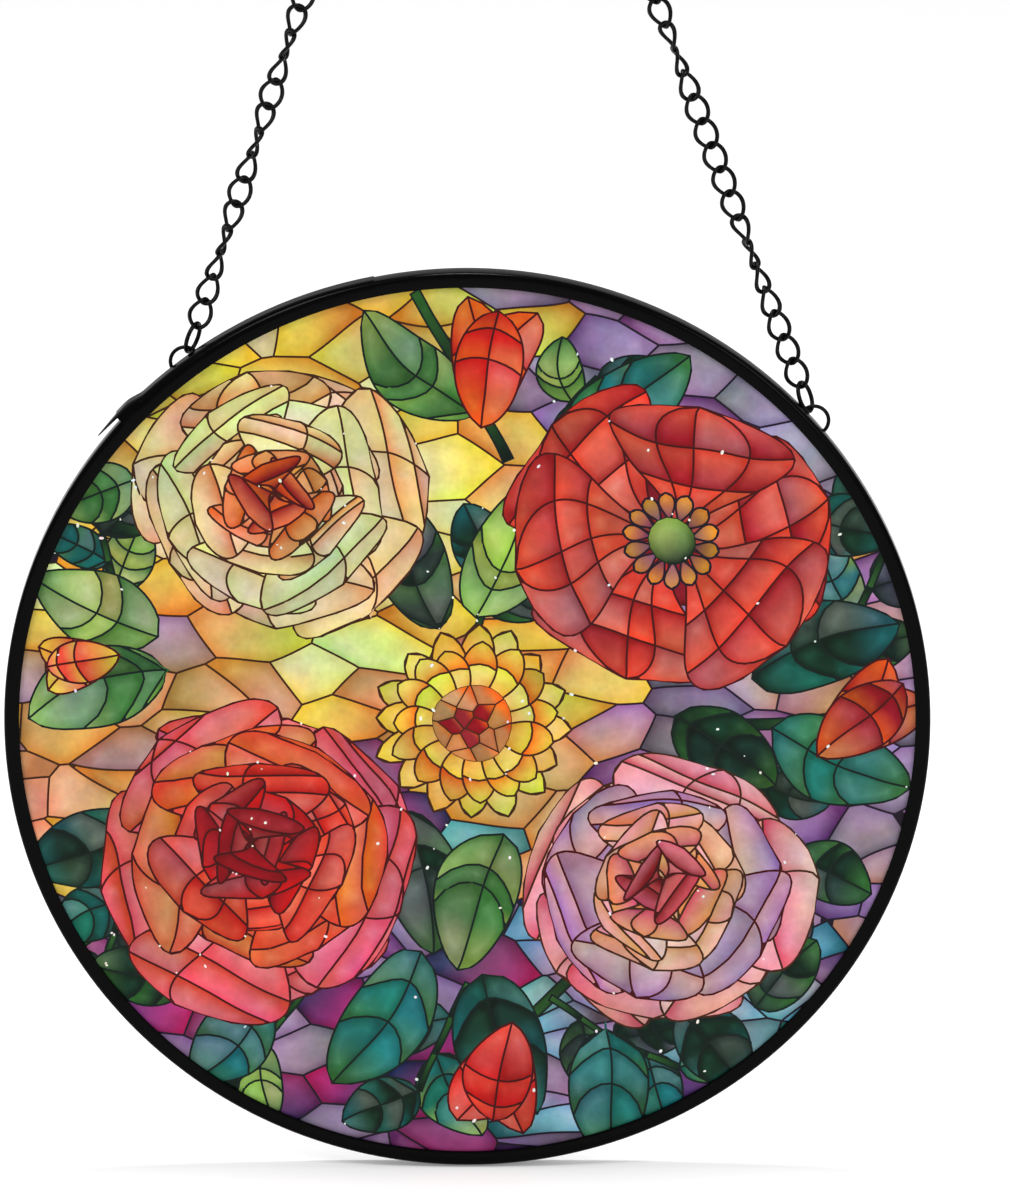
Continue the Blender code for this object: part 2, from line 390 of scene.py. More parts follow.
def lay_ground():
    """The ground, a crazed field of long cells from edge to edge."""
    pitch, drawn_out = GROUND_PITCH, GROUND_DRAWN_OUT
    seeds = []
    rows = math.ceil(4 * disc_radius / pitch)
    for row in range(rows + 1):
        for column in range(rows + 1):
            x = pitch * (column + 0.5 * (row % 2) - rows / 2 + picture.uniform(-0.46, 0.46))
            z = pitch * (row - rows / 2 + picture.uniform(-0.46, 0.46))
            if np.hypot(*(drawn_out @ (x, z))) < disc_radius + 1.5 * pitch:
                seeds.append((x, z))
    reach = 3 * disc_radius
    border = [(-reach, -reach), (reach, -reach), (reach, reach), (-reach, reach)]
    for seed, cell in voronoi(seeds, border):
        seed = drawn_out @ seed
        if np.hypot(*seed) > disc_radius + 0.7 * pitch:
            continue
        (near, far), line = ground_inks(*(seed + [picture.gauss(0, 0.006), picture.gauss(0, 0.006)]))
        run = polar((0, 0), pitch * 0.6, picture.uniform(0, 360))
        outline = [drawn_out @ point for point in cell]
        lay(outline, shade_of(near), shade_of(far), seed - run, seed + run, line)


def leaf(base, tip, half_width, inks, bow=0.0):
    """A leaf with a midrib, cut by veins that sweep forward from it."""
    ribs = [
        0.2 + picture.uniform(-0.04, 0.06),
        0.44 + picture.uniform(-0.05, 0.07),
        0.66 + picture.uniform(-0.04, 0.05),
    ]
    midrib = [picture.uniform(-0.12, 0.12)]
    ribs = ribs[picture.randint(0, 1):]
    forward = -picture.uniform(0.16, 0.26)
    petal(base, tip, half_width, 0.86, midrib, ribs, *inks, GREEN_LINE, bow, arch=forward)


def spray(start, heading, count, length, tones):
    """Leaves to either side of a thin stem that curls as it grows."""
    place = np.array(start)
    curl = picture.uniform(-9, 9)
    for k in range(count):
        onward = polar(place, length * 0.42, heading + curl * k)
        stem([tuple(place), tuple(onward)], 0.0005)
        side = 46 if k % 2 else -46
        size = length * picture.uniform(0.8, 1.1)
        leaf(onward, polar(onward, size, heading + curl * k + side), size * picture.uniform(0.27, 0.36),
             picture.choice(tones), picture.uniform(-0.3, 0.3))
        place = onward


def camellia(centre, radius, rings, inks, turn):
    """Rings of broad petals over each other. The smaller rings sit ever further up and to the left."""
    shares = (1.0, 0.77, 0.56, 0.38, 0.23, 0.12, 0.05)
    counts = (7, 6, 6, 5, 4, 3)
    for ring in range(rings):
        near, far = inks[min(ring, len(inks) - 1)]
        middle = np.array(centre) + radius * 0.13 * (ring / rings) * np.array([-0.6, 0.8])
        reach = radius * shares[ring]
        covered = shares[ring + 1] / shares[ring]
        order = list(range(counts[ring]))
        picture.shuffle(order)
        for k in order:
            angle = turn * (ring + 1) + 360 * k / counts[ring] + picture.uniform(-10, 10)
            length = reach * picture.uniform(0.86, 1.12)
            ribs = [covered * picture.uniform(0.86, 0.98)]
            if ring < 3 and picture.random() < 0.4:
                ribs.append(picture.uniform(covered + 0.06, 0.93))
            veins = []
            if ring < 4:
                veins = picture.choice([[], [-0.3], [0.25], [-0.45, 0.2], [-0.15, 0.5]])
            petal(
                polar(middle, radius * 0.01, angle),
                polar(middle, length, angle),
                reach * math.pi / counts[ring] * picture.uniform(1.15, 1.45),
                picture.uniform(1.7, 2.6),
                veins,
                ribs,
                near * 0.85,
                far,
                RED_LINE if far[1] < 0.35 else BROWN_LINE,
                picture.uniform(-0.3, 0.3),
                picture.uniform(-0.12, 0.14),
                picture.uniform(0.45, 0.85),
            )


def poppy(centre, radius, inks, turn):
    """Six broad veined petals over a dark throat, with a ring of stamens about a green eye."""
    near, far = inks
    throat = [polar(centre, radius * 0.42, 360 * i / 14) for i in range(14)]
    lay(throat, near * 0.5, near, centre, polar(centre, radius * 0.4, 0), RED_LINE)
    for k in (0, 2, 4, 1, 3, 5):
        angle = turn + 60 * k + picture.uniform(-5, 5)
        veins = [picture.uniform(-0.6, -0.4), picture.uniform(-0.1, 0.1), picture.uniform(0.35, 0.6)]
        petal(
            polar(centre, radius * 0.02, angle),
            polar(centre, radius * picture.uniform(0.86, 1.08), angle),
            radius * 0.62,
            picture.uniform(1.9, 2.6),
            veins,
            [picture.uniform(0.4, 0.5), picture.uniform(0.62, 0.85)],
            near,
            far,
            RED_LINE,
            picture.uniform(-0.25, 0.25),
            picture.uniform(-0.1, 0.12),
        )
    for k in range(14):
        angle = turn + 360 * k / 14
        petal(polar(centre, radius * 0.12, angle), polar(centre, radius * 0.3, angle), radius * 0.05, 1.7,
              [], [], PLUM, AMBER, DARK_LINE)
    eye = [polar(centre, radius * 0.15, 360 * i / 14) for i in range(14)]
    lay(eye, LIME, FOREST, polar(centre, radius * 0.15, 120), polar(centre, radius * 0.15, 300), GREEN_LINE)


def sunflower(centre, radius, inks, turn):
    """Two rings of narrow petals round a wide middle of small cells."""
    near, far = inks
    for ring, count in ((0, 16), (1, 15)):
        reach = radius * (1 - 0.16 * ring)
        for k in range(count):
            angle = turn + 360 * (k + 0.5 * ring) / count + picture.uniform(-3, 3)
            tip = polar(centre, reach * picture.uniform(0.94, 1.04), angle)
            petal(polar(centre, radius * 0.2, angle), tip, radius * 0.17, 1.35,
                  [], [0.55] if ring else [], near, far, BROWN_LINE)
    border = [polar(centre, radius * 0.4, 360 * i / 26) for i in range(26)]
    seeds = [polar(centre, radius * 0.36 * math.sqrt((i + 0.5) / 16), i * 137.5) for i in range(16)]
    for seed, cell in voronoi(seeds, border):
        tone = (TAN, ORANGE) if np.hypot(*(seed - np.array(centre))) > radius * 0.2 else (CRIMSON, ORANGE)
        lay(cell, shade_of(tone[0]), shade_of(tone[1]), seed, seed + 0.001, BROWN_LINE, LINE * 0.7)


def tulip(base, tip, half_width, inks):
    """A closed bloom: two petals behind and one in front."""
    base, tip = np.array(base), np.array(tip)
    along = tip - base
    side = np.array([-along[1], along[0]]) / np.hypot(*along)
    near, far = inks
    for shift in (-1, 1):
        petal(base, tip + side * shift * half_width * 0.62, half_width * 0.62, 1.15, [0.0], [0.55], near, far,
              RED_LINE, bow=-0.34 * shift)
    petal(base, tip - along * 0.06, half_width * 0.66, 1.1, [0.0], [0.5, 0.76], far, near, RED_LINE)


def stem(points, half_width):
    """A dark green stem, in straight lengths from point to point."""
    for start, end in zip(points, points[1:]):
        run = np.array(end) - np.array(start)
        side = np.array([-run[1], run[0]]) / np.hypot(*run) * half_width
        start, end = np.array(start), np.array(end)
        corners = [start - side, end - side, end + side, start + side]
        back_up(corners, GREEN_LINE)
        lay(corners, LEAF, FOREST, start, end, GREEN_LINE, LINE * 0.8)


lay_ground()

stem([(-0.060, -0.044), (-0.044, -0.030), (-0.030, -0.021)], 0.0009)
stem([(0.004, -0.070), (0.012, -0.052), (0.024, -0.040)], 0.0009)
stem([(-0.016, 0.072), (-0.006, 0.058), (0.002, 0.045)], 0.0009)
stem([(0.072, 0.010), (0.058, 0.006), (0.046, 0.004)], 0.0009)

GREENS = [(LEAF, LIME), (FOREST, LEAF), (TEAL, LEAF), (FOREST, TEAL), (LIME, LEAF)]
DEEP_GREENS = [(FOREST, TEAL), (TEAL, FOREST), (FOREST, LEAF), (TEAL, LIME), (FOREST, SLATE)]
spray((0.040, 0.006), -52, 5, 0.0165, DEEP_GREENS)
spray((0.056, 0.012), 64, 4, 0.0150, DEEP_GREENS)
spray((0.018, -0.046), -28, 4, 0.0150, DEEP_GREENS)
spray((0.004, -0.044), -106, 3, 0.0160, DEEP_GREENS)
spray((-0.022, -0.048), -128, 3, 0.0150, GREENS)
spray((-0.052, -0.030), -100, 3, 0.0140, DEEP_GREENS)
spray((-0.058, 0.012), 118, 3, 0.0120, GREENS)
spray((0.006, 0.044), 62, 3, 0.0150, GREENS)
spray((0.000, 0.014), 78, 3, 0.0135, GREENS)
for base, tip, half_width, tone, bow in (
    ((-0.052, 0.010), (-0.073, 0.018), 0.0062, 4, 0.1),
    ((-0.050, 0.004), (-0.072, -0.006), 0.0066, 0, -0.2),
    ((-0.006, 0.016), (-0.016, 0.038), 0.0062, 1, 0.2),
    ((0.000, 0.018), (0.006, 0.041), 0.0064, 4, -0.2),
    ((-0.004, 0.052), (-0.024, 0.067), 0.0058, 0, 0.3),
    ((0.012, 0.050), (0.030, 0.066), 0.0062, 2, -0.2),
    ((0.046, 0.012), (0.069, 0.024), 0.0070, 3, 0.2),
    ((0.050, 0.004), (0.074, -0.004), 0.0068, 2, -0.2),
    ((0.034, 0.004), (0.052, -0.006), 0.0060, 1, 0.1),
    ((-0.010, -0.016), (-0.002, -0.040), 0.0064, 1, 0.2),
    ((0.008, -0.018), (0.002, -0.042), 0.0064, 0, -0.2),
    ((-0.004, -0.040), (-0.016, -0.064), 0.0070, 2, 0.2),
    ((0.006, -0.042), (0.018, -0.066), 0.0072, 3, -0.2),
    ((-0.040, -0.046), (-0.058, -0.048), 0.0058, 1, 0.2),
    ((-0.030, -0.050), (-0.040, -0.066), 0.0064, 2, 0.2),
    ((0.052, -0.044), (0.061, -0.032), 0.0056, 1, 0.2),
    ((0.040, -0.046), (0.052, -0.058), 0.0060, 3, 0.1),
    ((-0.058, 0.036), (-0.070, 0.030), 0.0046, 0, 0.1),
    ((0.052, 0.040), (0.066, 0.038), 0.0054, 3, 0.1),
    ((0.028, -0.050), (0.030, -0.072), 0.0066, 2, 0.1),
    ((-0.052, -0.022), (-0.070, -0.032), 0.0066, 3, 0.1),
):
    leaf(base, tip, half_width, GREENS[tone], bow)

tulip((-0.003, 0.050), (-0.001, 0.071), 0.0088, (RED, ORANGE))
tulip((-0.058, 0.006), (-0.070, 0.002), 0.0060, (CORAL, LEMON))
tulip((0.058, 0.000), (0.071, 0.014), 0.0080, (CRIMSON, ORANGE))
tulip((0.012, -0.050), (0.010, -0.069), 0.0086, (RED, CORAL))

CORALS = [(CORAL, ROSE), (ORANGE, CORAL), (RED, CORAL), (CRIMSON, RED), (CRIMSON, CRIMSON)]
CREAMS = [(PEACH, CREAM), (CREAM, PALE_LEMON), (PEACH, CREAM), (ORANGE, PEACH), (CRIMSON, ORANGE)]
PINKS = [(ROSE, BLUSH), (BLUSH, LILAC), (PEACH, BLUSH), (ROSE, PEACH), (CRIMSON, ROSE)]
camellia((0.036, -0.026), 0.0235, 5, PINKS, 12)
camellia((-0.032, -0.026), 0.0265, 5, CORALS, 34)
camellia((-0.034, 0.034), 0.0235, 5, CREAMS, 8)
poppy((0.030, 0.034), 0.0255, (CRIMSON, CORAL), 20)
sunflower((0.001, 0.000), 0.0165, (ORANGE, LEMON), 4)


def lay_glints():
    """Small bright flecks at the lines, as thick glass would catch the light."""
    framed = picture.sample(cells, min(GLINTS, len(cells)))
    for x, z in [picture.choice(list(cell["outline"])) for cell in framed]:
        size = picture.uniform(*GLINT_SIZE)
        stretch = picture.uniform(1.0, 1.8)
        turned = polar((0, 0), 1, picture.uniform(0, 180))
        fleck = []
        for i in range(GLINT_SIDES):
            across = polar((0, 0), size, 360 * i / GLINT_SIDES)
            across[0] *= stretch
            fleck.append((x + across[0] * turned[0] - across[1] * turned[1],
                          z + across[0] * turned[1] + across[1] * turned[0]))
        outline = closed_path(fleck, 1.0)
        cells.append({"outline": outline, "glass": None, "line": GLINT})


lay_glints()


def within(points, outline):
    """Which points lie inside an outline, by how often a ray from each crosses it."""
    start, end = outline, np.roll(outline, -1, axis=0)
    x, z = points[:, 0][:, None], points[:, 1][:, None]
    spans = (start[:, 1] > z) != (end[:, 1] > z)
    rise = np.where(np.abs(end[:, 1] - start[:, 1]) < 1e-15, 1e-15, end[:, 1] - start[:, 1])
    crossing = start[:, 0] + (z - start[:, 1]) * (end[:, 0] - start[:, 0]) / rise
    return (spans & (x < crossing)).sum(1) % 2 == 1


def cut_sheet(points, edges, outlines):
    """Cuts a flat sheet along the edges, and finds the last outline laid over each of its triangles."""
    flat, _, faces, _, _, _ = delaunay_2d_cdt(
        [Vector(point) for point in points], edges, [], 0, MERGE_DISTANCE, False
    )
    flat = np.array([tuple(point) for point in flat])
    faces = np.array(faces)
    middles = flat[faces].mean(axis=1)
    order = np.argsort(middles[:, 0])
    sorted_x = middles[order, 0]
    owners = np.full(len(faces), -1)
    for owner, outline in enumerate(outlines):
        low, high = outline.min(axis=0), outline.max(axis=0)
        near = order[np.searchsorted(sorted_x, low[0]):np.searchsorted(sorted_x, high[0])]
        near = near[(middles[near, 1] > low[1]) & (middles[near, 1] < high[1])]
        if owner:
            near = near[owners[near] >= 0]
        owners[near[within(middles[near], outline)]] = owner
    return flat, faces, owners


def borders(faces, tones):
    """The edges that part faces of different tones."""
    sides = np.sort(np.vstack([faces[:, [0, 1]], faces[:, [1, 2]], faces[:, [2, 0]]]), axis=1)
    order = np.lexsort((sides[:, 1], sides[:, 0]))
    sides, tones = sides[order], np.tile(tones, 3)[order]
    alike = (sides[1:] == sides[:-1]).all(axis=1) & (tones[1:] == tones[:-1])
    inside = np.zeros(len(sides), bool)
    inside[1:] |= alike
    inside[:-1] |= alike
    return np.unique(sides[~inside], axis=0)


def print_picture():
    """Cuts the overlapping cells into one flat sheet, where the last cell laid shows.

    The first cut is along every outline. The second keeps the borders that show and drops what is covered.
    """
    reach = disc_radius - PRINT_MARGIN
    outlines = [np.array([polar((0, 0), reach, 360 * i / ROUND_STEPS) for i in range(ROUND_STEPS)])]
    kinds = [None]
    for cell in cells:
        outlines.append(cell["outline"])
        kinds.append((cell, "line"))
        if cell["glass"] is None:
            continue
        outlines.append(cell["glass"])
        kinds.append((cell, "glass"))
        middle = cell["glass"].mean(axis=0)
        outlines.append(middle + (cell["glass"] - middle) * BODY_SHARE)
        kinds.append((cell, "glass"))
    line_tones = {}
    tones = []
    for owner, kind in enumerate(kinds):
        if kind and kind[1] == "line":
            tones.append(line_tones.setdefault(tuple(kind[0]["line"]), owner))
        else:
            tones.append(owner)
    outside = -1
    tones = np.array(tones + [outside])
    points, edges = [], []
    for outline in outlines:
        first, count = len(points), len(outline)
        edges.extend((first + i, first + (i + 1) % count) for i in range(count))
        points.extend(outline)
    flat, faces, owners = cut_sheet(points, edges, outlines)
    used, ends = np.unique(borders(faces, tones[owners]), return_inverse=True)
    flat, faces, owners = cut_sheet(flat[used], ends.reshape(-1, 2).tolist(), outlines)
    kept = owners >= 0
    used, corners = np.unique(faces[kept], return_inverse=True)
    return flat[used], corners.reshape(-1, 3), owners[kept], kinds


def ink_corners(flat, shown, owners, kinds):
    """The colour at each corner of each face."""
    places = flat[shown]
    colours = np.zeros(places.shape[:2] + (3,))
    for owner in np.unique(owners):
        mine = owners == owner
        if kinds[owner] is None:
            colours[mine] = DARK_LINE
            continue
        cell, kind = kinds[owner]
        if kind == "line":
            colours[mine] = cell["line"]
            continue
        spots = places[mine].reshape(-1, 2)
        run = cell["end"] - cell["start"]
        share = np.clip((spots - cell["start"]) @ run / max(float(run @ run), 1e-12), 0, 1)[:, None]
        body = cell["near"] * (1 - share) + cell["far"] * share
        depth = np.clip(edge_distance(spots, cell["outline"]) / EDGE_FADE, 0, 1)[:, None]
        colours[mine] = (body ** (1 + EDGE_DEPTH * (1 - depth))).reshape(-1, 3, 3)
    return colours


flat, shown, owners, kinds = print_picture()
picture_mesh = bpy.data.meshes.new("printed_picture")
front = -disc_thickness / 2 - INK_LIFT
picture_mesh.from_pydata([(x, front, z) for x, z in flat], [], shown.tolist())
colours = ink_corners(flat, shown, owners, kinds)
ink_layer = picture_mesh.color_attributes.new("ink", "FLOAT_COLOR", "CORNER")
rgba = np.ones((colours.shape[0] * 3, 4), np.float32)
rgba[:, :3] = colours.reshape(-1, 3)
ink_layer.data.foreach_set("color", rgba.ravel())
bake_map = picture_mesh.uv_layers.new(name="OFBake")
spots = flat[shown].reshape(-1, 2) / (2 * disc_radius) + 0.5
bake_map.data.foreach_set("uv", spots.astype(np.float32).ravel())
printed_picture = bpy.data.objects.new("printed_picture", picture_mesh)
bpy.context.scene.collection.objects.link(printed_picture)
settle(printed_picture, disc_frame)

MOTTLE_SCALE = 230.0
GRAIN_SCALE = 1100.0
BLOTCH_SCALE = 95.0

BLOTCH_SPAN = (0.6, 0.6, 0.6)
BLOTCH_BASE = (0.4, 0.4, 0.4)


def noise_over(tree, scale, detail):
    """A noise over the object's own metres."""
    coordinates = tree.nodes.new("ShaderNodeTexCoord")
    pattern = tree.nodes.new("ShaderNodeTexNoise")
    pattern.inputs["Scale"].default_value = scale
    pattern.inputs["Detail"].default_value = detail
    tree.links.new(coordinates.outputs["Object"], pattern.inputs["Vector"])
    return pattern


def spread_out(tree, value, low, high, start=0.0, end=1.0):
    """A value that runs from start to end, drawn out to run from low to high."""
    spread = tree.nodes.new("ShaderNodeMapRange")
    for name, number in (("From Min", start), ("From Max", end), ("To Min", low), ("To Max", high)):
        spread.inputs[name].default_value = number
    tree.links.new(value, spread.inputs["Value"])
    return spread.outputs["Result"]


print_ink, tree, shader = principled("print_ink", Roughness=0.2, Specular_IOR_Level=0.1)
links = tree.links
colour = tree.nodes.new("ShaderNodeAttribute")
colour.attribute_name = "ink"
mottle = spread_out(tree, noise_over(tree, MOTTLE_SCALE, 4).outputs["Fac"], 0.86, 1.14, 0.3, 0.7)
grain = spread_out(tree, noise_over(tree, GRAIN_SCALE, 2).outputs["Fac"], 0.95, 1.05, 0.3, 0.7)
both = tree.nodes.new("ShaderNodeMath")
both.operation = "MULTIPLY"
links.new(mottle, both.inputs[0])
links.new(grain, both.inputs[1])
tinted = tree.nodes.new("ShaderNodeVectorMath")
tinted.operation = "SCALE"
links.new(colour.outputs["Color"], tinted.inputs[0])
links.new(both.outputs["Value"], tinted.inputs["Scale"])
hues = tree.nodes.new("ShaderNodeVectorMath")
hues.operation = "MULTIPLY_ADD"
hues.inputs[1].default_value = BLOTCH_SPAN
hues.inputs[2].default_value = BLOTCH_BASE
links.new(noise_over(tree, BLOTCH_SCALE, 3).outputs["Color"], hues.inputs[0])
painted = tree.nodes.new("ShaderNodeVectorMath")
painted.operation = "MULTIPLY"
links.new(tinted.outputs["Vector"], painted.inputs[0])
links.new(hues.outputs["Vector"], painted.inputs[1])
links.new(painted.outputs["Vector"], shader.inputs["Base Color"])
printed_picture.data.materials.append(print_ink)
hand_over(printed_picture, "printed_acrylic")


# Rim
# A strip of thin black-enamelled metal, rolled into a channel and bent round the disc.
# Its corners are rounded, and the lips on both faces hold the disc.
RIM_SHEET = 0.0005
RIM_LIP = 0.0025
RIM_CORNER = 0.0008
CORNER_ROUNDING = 5
LIP_ROUNDING = 0.00012
ORANGE_PEEL_SCALE = 700.0

RIM_RADIUS = disc_radius + 0.00075
RIM_DEPTH = disc_thickness + 0.0015
HALF_DEPTH = RIM_DEPTH / 2


def select_edges(piece, test):
    """In edit mode, selects the edges whose middle passes the test."""
    bpy.ops.mesh.select_mode(type="EDGE")
    bpy.ops.mesh.select_all(action="DESELECT")
    bm = bmesh.from_edit_mesh(piece.data)
    for edge in bm.edges:
        edge.select_set(test((edge.verts[0].co + edge.verts[1].co) / 2))
    bm.select_flush_mode()
    bmesh.update_edit_mesh(piece.data)


bpy.ops.object.select_all(action="DESELECT")
bpy.ops.mesh.primitive_cylinder_add(
    vertices=ROUND_STEPS, radius=RIM_RADIUS, depth=RIM_DEPTH, end_fill_type="NOTHING",
    rotation=(math.pi / 2, 0, 0),
)
rim_channel = new_piece("rim_channel")
bpy.ops.object.transform_apply(location=True, rotation=True, scale=True)
bpy.ops.object.mode_set(mode="EDIT")
for side in (-1, 1):
    select_edges(rim_channel, lambda middle: middle.y * side > HALF_DEPTH * 0.99)
    bpy.ops.mesh.extrude_edges_move()
    inward = (RIM_RADIUS - RIM_LIP) / RIM_RADIUS
    bpy.ops.transform.resize(value=(inward, 1, inward))
bpy.ops.mesh.select_all(action="SELECT")
bpy.ops.mesh.normals_make_consistent(inside=False)
bpy.ops.object.mode_set(mode="OBJECT")
modify(rim_channel, "BEVEL", width=RIM_CORNER, segments=CORNER_ROUNDING, limit_method="ANGLE")
modify(rim_channel, "SOLIDIFY", thickness=RIM_SHEET, offset=-1.0, use_even_offset=True)
modify(
    rim_channel, "BEVEL", width=LIP_ROUNDING, segments=2, limit_method="ANGLE", angle_limit=math.radians(60)
)
bpy.ops.object.shade_smooth_by_angle(angle=SMOOTH_ANGLE)
settle(rim_channel, disc_frame)

enamel, tree, shader = principled(
    "gloss_black_enamel", Base_Color=(0.001, 0.001, 0.0011, 1), Roughness=0.2, Specular_IOR_Level=0.04
)
orange_peel = noise_over(tree, ORANGE_PEEL_SCALE, 3)
unevenness = tree.nodes.new("ShaderNodeBump")
unevenness.inputs["Strength"].default_value = 0.12
unevenness.inputs["Distance"].default_value = 0.0002
tree.links.new(orange_peel.outputs["Fac"], unevenness.inputs["Height"])
tree.links.new(unevenness.outputs["Normal"], shader.inputs["Normal"])
wear = spread_out(tree, orange_peel.outputs["Fac"], 0.1, 0.24)
tree.links.new(wear, shader.inputs["Roughness"])
rim_channel.data.materials.append(enamel)
hand_over(rim_channel, "black_enamel", "rim")


# Lapped joint
# The rim's strip is a little too long for the disc. One end is pulled over the other at the upper left,
# swells where it was pressed down, and ends in a snipped tail that stands off the rim.
LAP_START = 107.0
LAP_SWELL = 139.0
LAP_PEAK = 141.7
LAP_END = 143.3
LAP_RISE = 0.00045
LAP_BUMP = 0.0007
LAP_SHEET = 0.00035
LAP_ROWS = 72
LAP_COLUMNS = 14
LAP_SNUGNESS = 0.6
FLAT_LIP_SHARE = 0.8
TAIL_LENGTH = 0.0052
TAIL_TIP_WIDTH = 0.0008
TAIL_SHEET = LAP_SHEET * 1.2
TAIL_TIP_SHARE = 0.3
TAIL_HOLD = 0.35
TAIL_ROUNDING = 0.00006


def lap_height(degrees):
    """How far the lapping end stands out from the rim."""
    grown = min(max((degrees - LAP_START) / (LAP_END - LAP_START), 0), 1)
    swell = min(max((degrees - LAP_SWELL) / (LAP_PEAK - LAP_SWELL), 0), 1)
    return LAP_RISE * grown + LAP_BUMP * swell * swell * (3 - 2 * swell)


def section(share, lift):
    """A place on the channel's outside, from front lip to back lip, as (radius, depth)."""
    reach = RIM_CORNER + lift
    flat_lip = RIM_CORNER * FLAT_LIP_SHARE
    wall = RIM_DEPTH - 2 * RIM_CORNER
    arc = math.pi / 2 * reach
    whole = 2 * flat_lip + 2 * arc + wall
    run = share * whole
    side = -1
    if run > whole / 2:
        run = whole - run
        side = 1
    if run < flat_lip:
        radius, depth = RIM_RADIUS - RIM_CORNER - flat_lip + run, HALF_DEPTH + lift
    elif run < flat_lip + arc:
        turn = (run - flat_lip) / reach
        radius = RIM_RADIUS - RIM_CORNER + reach * math.sin(turn)
        depth = HALF_DEPTH - RIM_CORNER + reach * math.cos(turn)
    else:
        radius, depth = RIM_RADIUS + lift, HALF_DEPTH - RIM_CORNER - (run - flat_lip - arc)
    return radius, side * depth


bpy.ops.object.select_all(action="DESELECT")
bpy.ops.mesh.primitive_grid_add(x_subdivisions=LAP_ROWS, y_subdivisions=LAP_COLUMNS, size=2)
rim_lap = new_piece("rim_lap")
for vertex in rim_lap.data.vertices:
    degrees = LAP_START + (LAP_END - LAP_START) * (vertex.co.x + 1) / 2
    lift = lap_height(degrees)
    snug_lift = min(lift, LAP_RISE) * LAP_SNUGNESS
    radius, depth = section((vertex.co.y + 1) / 2, snug_lift)
    outward = max(radius - (RIM_RADIUS - RIM_CORNER), 0) / RIM_CORNER
    place = polar((0, 0), radius + (lift - snug_lift) * min(outward, 1), degrees)
    vertex.co = (place[0], depth, place[1])
modify(rim_lap, "SOLIDIFY", thickness=LAP_SHEET, offset=0.0)
bpy.ops.object.mode_set(mode="EDIT")
bpy.ops.mesh.select_all(action="SELECT")
bpy.ops.mesh.normals_make_consistent(inside=False)
bpy.ops.object.mode_set(mode="OBJECT")
bpy.ops.object.shade_smooth_by_angle(angle=SMOOTH_ANGLE)
settle(rim_lap, disc_frame)
rim_lap.data.materials.append(enamel)
hand_over(rim_lap, "black_enamel")

tail_root = polar((0, 0), RIM_RADIUS + lap_height(LAP_END) - LAP_SHEET / 2, LAP_END - TAIL_HOLD)
tail_way = math.radians(LAP_END + 90)
bpy.ops.object.select_all(action="DESELECT")
bpy.ops.mesh.primitive_cube_add(size=1, location=(0.5, 0, 0))
rim_tail = new_piece("rim_tail")
bpy.ops.object.transform_apply(location=True)
rim_tail.scale = (TAIL_LENGTH, RIM_DEPTH - 2 * RIM_CORNER, TAIL_SHEET)
bpy.ops.object.transform_apply(scale=True)
for vertex in rim_tail.data.vertices:
    if vertex.co.x > TAIL_LENGTH / 2:
        vertex.co.y *= TAIL_TIP_WIDTH / (RIM_DEPTH - 2 * RIM_CORNER)
        vertex.co.z *= TAIL_TIP_SHARE
modify(rim_tail, "BEVEL", width=TAIL_ROUNDING, segments=2, limit_method="ANGLE")
bpy.ops.object.shade_smooth_by_angle(angle=SMOOTH_ANGLE)
settle(
    rim_tail,
    disc_frame @ Matrix.Translation((tail_root[0], 0, tail_root[1])) @ Matrix.Rotation(-tail_way, 4, "Y"),
)
rim_tail.data.materials.append(enamel)
hand_over(rim_tail, "black_enamel")


# Lugs
# Two rings of blackened wire, soldered flat on the rim's back. Half of each stands above the rim
# for the chain to hook into.
LUG_WIRE = 0.00064
LUG_RADIUS = 0.0024
SOLDER = 0.0011
WIRE_GRAIN_SCALE = 1500.0

blackened_wire, tree, shader = principled(
    "blackened_wire", Base_Color=(0.002, 0.002, 0.0021, 1), Roughness=0.3, Specular_IOR_Level=0.1
)
sheen = spread_out(tree, noise_over(tree, WIRE_GRAIN_SCALE, 2).outputs["Fac"], 0.2, 0.42)
tree.links.new(sheen, shader.inputs["Roughness"])

back_lip = disc_centre.y + HALF_DEPTH
for name, centre in (("left_lug", left_lug_centre), ("right_lug", right_lug_centre)):
    bpy.ops.object.select_all(action="DESELECT")
    bpy.ops.mesh.primitive_torus_add(
        major_radius=LUG_RADIUS, minor_radius=LUG_WIRE / 2, major_segments=48, minor_segments=12,
        location=(centre.x, centre.y, centre.z), rotation=(math.pi / 2, 0, 0),
    )
    ring = new_piece(name + "_ring")
    bpy.ops.object.shade_smooth()
    settle(ring, Matrix.Identity(4))
    ring.data.materials.append(blackened_wire)
    hand_over(ring, "black_wire", name)
    inward = (disc_centre - centre)
    inward.y = 0
    inward.normalize()
    bead_place = centre + inward * LUG_RADIUS
    bead_place.y = (back_lip + centre.y) / 2
    bpy.ops.object.select_all(action="DESELECT")
    bpy.ops.mesh.primitive_uv_sphere_add(segments=24, ring_count=14, radius=SOLDER, location=bead_place)
    bead = new_piece(name + "_solder")
    bead.scale = (1.15, 0.42, 0.9)
    bpy.ops.object.shade_smooth()
    settle(bead, Matrix.Identity(4))
    bead.data.materials.append(blackened_wire)
    hand_over(bead, "black_wire")


